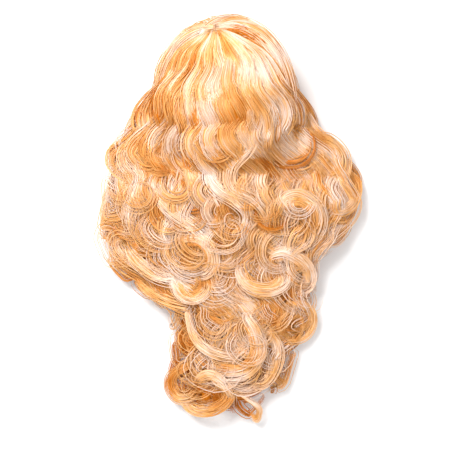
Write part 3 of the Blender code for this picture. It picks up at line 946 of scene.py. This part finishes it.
# Front fringe
# Short locks that leave the whorl the other way, over the top of the head, and
# come down to the table all round the face side.
def over_front(bearing, picker):
    """A lock's way from the whorl down to the rim; bearing is round from +Y."""
    pole = (np.array([*crown, height_at(*crown)]) - CAP_CENTRE) / HEAD_RADII
    pole /= np.linalg.norm(pole)
    rim = np.array([math.sin(bearing) * 0.98, math.cos(bearing) * 0.98, -0.33])
    rim /= np.linalg.norm(rim)
    whole = math.acos(float(pole @ rim))
    reach = np.linspace(0.02, 1.0, 120)[:, None] * whole
    ball = (pole * np.sin(whole - reach) + rim * np.sin(reach)) / math.sin(whole)
    spots = CAP_CENTRE + ball * HEAD_RADII * picker.uniform(0.985, 1.015)
    sideways = np.cross(rim, (0, 0, 1.0))
    share = reach / whole
    bend = picker.uniform(-0.5, 0.5) + 2.2 * bearing
    spots = spots + sideways * 0.010 * share * np.sin(share * 7 + bend)
    spots[:, 2] = np.maximum(spots[:, 2], 0.004)
    return spots


picker = np.random.default_rng(81)
fringe_bundles = []
for bearing in np.linspace(-2.0, 2.0, 34):
    fringe_bundles += lock(
        over_front(bearing + picker.uniform(-0.05, 0.05), picker),
        picker.uniform(0.022, 0.032),
        19,
        picker.uniform(0.3, 0.75),
        picker,
        0.12,
        picker.uniform(0.3, 0.6),
        0.26,
        0.25,
    )
fringe = hair_mesh("front_fringe", golden, fringe_bundles)
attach(fringe, "cap")

# Loose strands
# Single fibres and thin wisps that have come away from the locks.
wisps = grow(
    "loose_wisps",
    row_of_locks(
        60, 91, (-1.05, 1.05), (0.05, 0.27), (0.10, -0.28), (0.9, 1.05),
        scatter=2.5, strands=7, width=(0.014, 0.030), tone=(0.4, 0.95), tip=(0.6, 1.3),
        swing=(0.9, 1.7), turns=(0.2, 1.0), wavelength=(0.09, 0.15),
        lift=(0.006, 0.011), heart=False,
    ),
    92,
)
across_fold(wisps)

# Bold curls and swept locks
# The locks that lie on top, given high tones that paint light on them: long S bends
# down the back, open curls at the sides and in the tail, and the sweep over the top of
# the head. A smaller second lock inside a curl gets a lower tone, painted shade in
# the curl's centre.
def smooth_way(spots):
    """A smooth way through given spots."""
    spots = np.array(spots, float)
    ends = [2 * spots[0] - spots[1], *spots, 2 * spots[-1] - spots[-2]]
    share = np.linspace(0, 1, 24, endpoint=False)[:, None]
    runs = []
    for before, start, end, after in zip(ends, ends[1:], ends[2:], ends[3:]):
        bend = 2 * before - 5 * start + 4 * end - after
        twist = 3 * start - before - 3 * end + after
        slope = end - before
        runs.append(start + (slope * share + bend * share**2 + twist * share**3) / 2)
    return np.concatenate([*runs, spots[-1:]])


BOLD_LOCKS = (
    # width, tone, size of a second lock inside it, then spots from root to tip
    (
        0.026, 0.85, 0,
        (
            (0.033, 0.144), (0.039, 0.127), (0.030, 0.110), (0.008, 0.087),
            (0.002, 0.064), (0.011, 0.045), (0.040, 0.032), (0.060, 0.010),
            (0.070, -0.012), (0.092, -0.030),
        ),
    ),
    (
        0.024, 0.95, 0,
        (
            (0.004, 0.120), (-0.021, 0.087), (-0.026, 0.067), (-0.012, 0.047),
            (0.011, 0.033), (0.028, 0.018), (0.033, 0.001), (0.024, -0.019),
            (-0.002, -0.032),
        ),
    ),
    (
        0.020, 0.90, 0,
        (
            (-0.118, 0.120), (-0.148, 0.096), (-0.134, 0.072), (-0.138, 0.046),
            (-0.148, 0.020), (-0.150, -0.003), (-0.141, -0.024), (-0.124, -0.038),
        ),
    ),
    (
        0.024, 0.90, 0,
        (
            (-0.128, 0.066), (-0.106, 0.036), (-0.080, 0.011), (-0.054, -0.006),
            (-0.034, -0.023), (-0.016, -0.040),
        ),
    ),
    (
        0.026, 0.80, 0.72,
        (
            (0.106, 0.158), (0.130, 0.136), (0.164, 0.128), (0.187, 0.103),
            (0.186, 0.074), (0.168, 0.060), (0.150, 0.068),
        ),
    ),
    (
        0.018, 0.65, 0,
        (
            (0.178, 0.086), (0.196, 0.075), (0.208, 0.058), (0.203, 0.031),
            (0.184, 0.016), (0.152, 0.018),
        ),
    ),
    (
        0.024, 0.85, 0.70,
        (
            (0.096, -0.004), (0.086, 0.018), (0.092, 0.034), (0.114, 0.039),
            (0.139, 0.022), (0.146, -0.004), (0.133, -0.026), (0.108, -0.036),
        ),
    ),
    (
        0.018, 0.90, 0.75,
        (
            (0.058, -0.072), (0.070, -0.056), (0.091, -0.049), (0.117, -0.061),
            (0.133, -0.081), (0.133, -0.101), (0.119, -0.111), (0.102, -0.101),
        ),
    ),
    (
        0.022, 0.85, 0.70,
        (
            (0.018, -0.056), (0.020, -0.079), (0.031, -0.100), (0.054, -0.110),
            (0.079, -0.108), (0.096, -0.093), (0.090, -0.070),
        ),
    ),
    (
        0.016, 0.80, 0.66,
        (
            (-0.086, -0.048), (-0.068, -0.029), (-0.044, -0.027), (-0.024, -0.044),
            (-0.020, -0.068), (-0.032, -0.085), (-0.056, -0.088),
        ),
    ),
    (
        0.018, 0.75, 0.60,
        (
            (-0.078, -0.075), (-0.082, -0.098), (-0.070, -0.119), (-0.048, -0.124),
            (-0.029, -0.110), (-0.033, -0.088),
        ),
    ),
    (
        0.026, 0.90, 0,
        (
            (-0.162, -0.030), (-0.146, -0.057), (-0.123, -0.079), (-0.097, -0.091),
            (-0.068, -0.091),
        ),
    ),
    (
        0.020, 0.75, 0,
        (
            (-0.150, -0.080), (-0.132, -0.104), (-0.106, -0.121), (-0.078, -0.132),
            (-0.048, -0.136),
        ),
    ),
    (
        0.018, 0.85, 0,
        (
            (-0.064, -0.128), (-0.060, -0.152), (-0.050, -0.184), (-0.031, -0.203),
            (-0.002, -0.214), (0.032, -0.216),
        ),
    ),
    (
        0.024, 0.80, 0.78,
        (
            (0.042, -0.126), (0.033, -0.150), (0.046, -0.172), (0.053, -0.200),
            (0.044, -0.226), (0.020, -0.242), (-0.020, -0.239), (-0.048, -0.222),
        ),
    ),
    (
        0.020, 0.80, 0,
        (
            (0.052, -0.160), (0.072, -0.180), (0.083, -0.206), (0.076, -0.240),
            (0.057, -0.260), (0.034, -0.252),
        ),
    ),
    (
        0.014, 0.55, 0,
        (
            (0.084, -0.132), (0.108, -0.130), (0.134, -0.142), (0.138, -0.166),
            (0.126, -0.186), (0.104, -0.192), (0.086, -0.184),
        ),
    ),
    (
        0.020, 0.50, 0,
        (
            (-0.040, -0.228), (-0.064, -0.234), (-0.084, -0.247), (-0.088, -0.265),
            (-0.078, -0.281), (-0.060, -0.281), (-0.044, -0.267),
        ),
    ),
    (
        0.014, 0.90, 0.75,
        (
            (-0.052, -0.266), (-0.044, -0.250), (-0.028, -0.243), (-0.008, -0.252),
            (0.008, -0.276), (0.011, -0.297),
        ),
    ),
    (
        0.022, 0.65, 0,
        (
            (-0.072, -0.272), (-0.063, -0.292), (-0.046, -0.303), (-0.020, -0.301),
            (0.002, -0.286), (0.008, -0.264),
        ),
    ),
    (
        0.009, 0.62, 0.8,
        (
            (0.012, -0.272), (0.030, -0.281), (0.050, -0.295), (0.058, -0.310),
            (0.050, -0.320), (0.036, -0.308),
        ),
    ),
)
ROOT_TUCKED, TIP_TUCKED = 0.017, 0.009  # how far the ends go down among the hair
picker = np.random.default_rng(101)
bold_bundles = []
for width, tone, inside, spots in BOLD_LOCKS:
    for size in (1, inside) if inside else (1,):
        way = smooth_way(spots)
        way = way.mean(axis=0) + (way - way.mean(axis=0)) * size
        rise = np.sin(np.linspace(0, math.pi, len(way))) ** 0.6 * 1.6 - 0.9
        path = laid(way, rise, 1.0, 0.007, 0.032)
        share = np.linspace(0, 1, len(path))
        tucked = ROOT_TUCKED * (1 - np.clip(share / 0.17, 0, 1)) ** 1.4
        tucked += TIP_TUCKED * np.clip((share - 0.86) / 0.14, 0, 1) ** 1.4
        path[:, 2] += 0.002 + 0.002 * size - tucked
        path[:, 2] = over_cap(path[:, 0], path[:, 1], np.maximum(path[:, 2], 0.006))
        bold_bundles += lock(
            path,
            width * picker.uniform(0.85, 1.1) * size,
            32,
            # An inner lock is painted darker: painted shade in the curl's centre.
            0.90 * tone + picker.uniform(-0.16, 0.02) - 0.25 * (size < 1),
            picker,
            0.30,
            picker.uniform(0.5, 0.95),
            0.22,
            0.42,
            0.24,
        )
bold = hair_mesh("bold_curls", golden, bold_bundles)
across_fold(bold)

SWEPT = (
    # width, tone, height above the hair, then spots from the whorl outwards
    # The first, short lock lies lowest with a low tone: a dark lock laid as painted shade
    # in the parting at the whorl.
    (
        0.020, -0.10, 0.000,
        ((-0.010, 0.297), (0.014, 0.295), (0.040, 0.285), (0.060, 0.266)),
    ),
    (
        0.030, 0.80, 0.004,
        (
            (-0.015, 0.298), (0.010, 0.300), (0.040, 0.290), (0.064, 0.270),
            (0.083, 0.242), (0.096, 0.206), (0.104, 0.172),
        ),
    ),
    (
        0.026, 0.65, 0.003,
        (
            (-0.014, 0.299), (0.004, 0.307), (0.030, 0.304), (0.058, 0.286),
            (0.082, 0.258), (0.099, 0.222), (0.108, 0.186),
        ),
    ),
    (
        0.024, 0.85, 0.001,
        (
            (-0.042, 0.286), (-0.026, 0.300), (-0.004, 0.310), (0.022, 0.311),
            (0.048, 0.297), (0.072, 0.274),
        ),
    ),
    (
        0.024, 0.70, 0.002,
        (
            (-0.016, 0.297), (-0.040, 0.293), (-0.068, 0.276), (-0.090, 0.246),
            (-0.103, 0.210), (-0.110, 0.176),
        ),
    ),
    (
        0.022, 0.60, 0.001,
        (
            (-0.016, 0.299), (-0.042, 0.298), (-0.072, 0.280), (-0.095, 0.248),
            (-0.109, 0.212),
        ),
    ),
)
swept_bundles = []
for width, tone, above, spots in SWEPT:
    way = smooth_way(spots)
    path = laid(way, np.zeros(len(way)), 1.0, 0)
    path[:, 2] += above + 0.003
    swept_bundles += lock(path, width, 24, tone, picker, 0.18, 0.6, 0.3, 0.12)
swept = hair_mesh("swept_locks", golden, swept_bundles)
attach(swept, "cap")

hair_stand_ins = [
    (under_cap, ("crown_hair", "back_hair", "front_hair", "nape_hair")),
    (under_cap, ("temple_hair_left", "temple_hair_right")),
    (under_cap, ("ear_hair_left", "ear_hair_right")),
    (side_curls, ("side_curls_left", "side_curls_right")),
    (under_length, ("length_centre", "length_lower")),
    (tail_over, ("tail_curls",)),
    (middle_waves, ("length_curls_left", "length_curls_right")),
]
for piece, stood_for in hair_stand_ins:
    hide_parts(*stood_for)
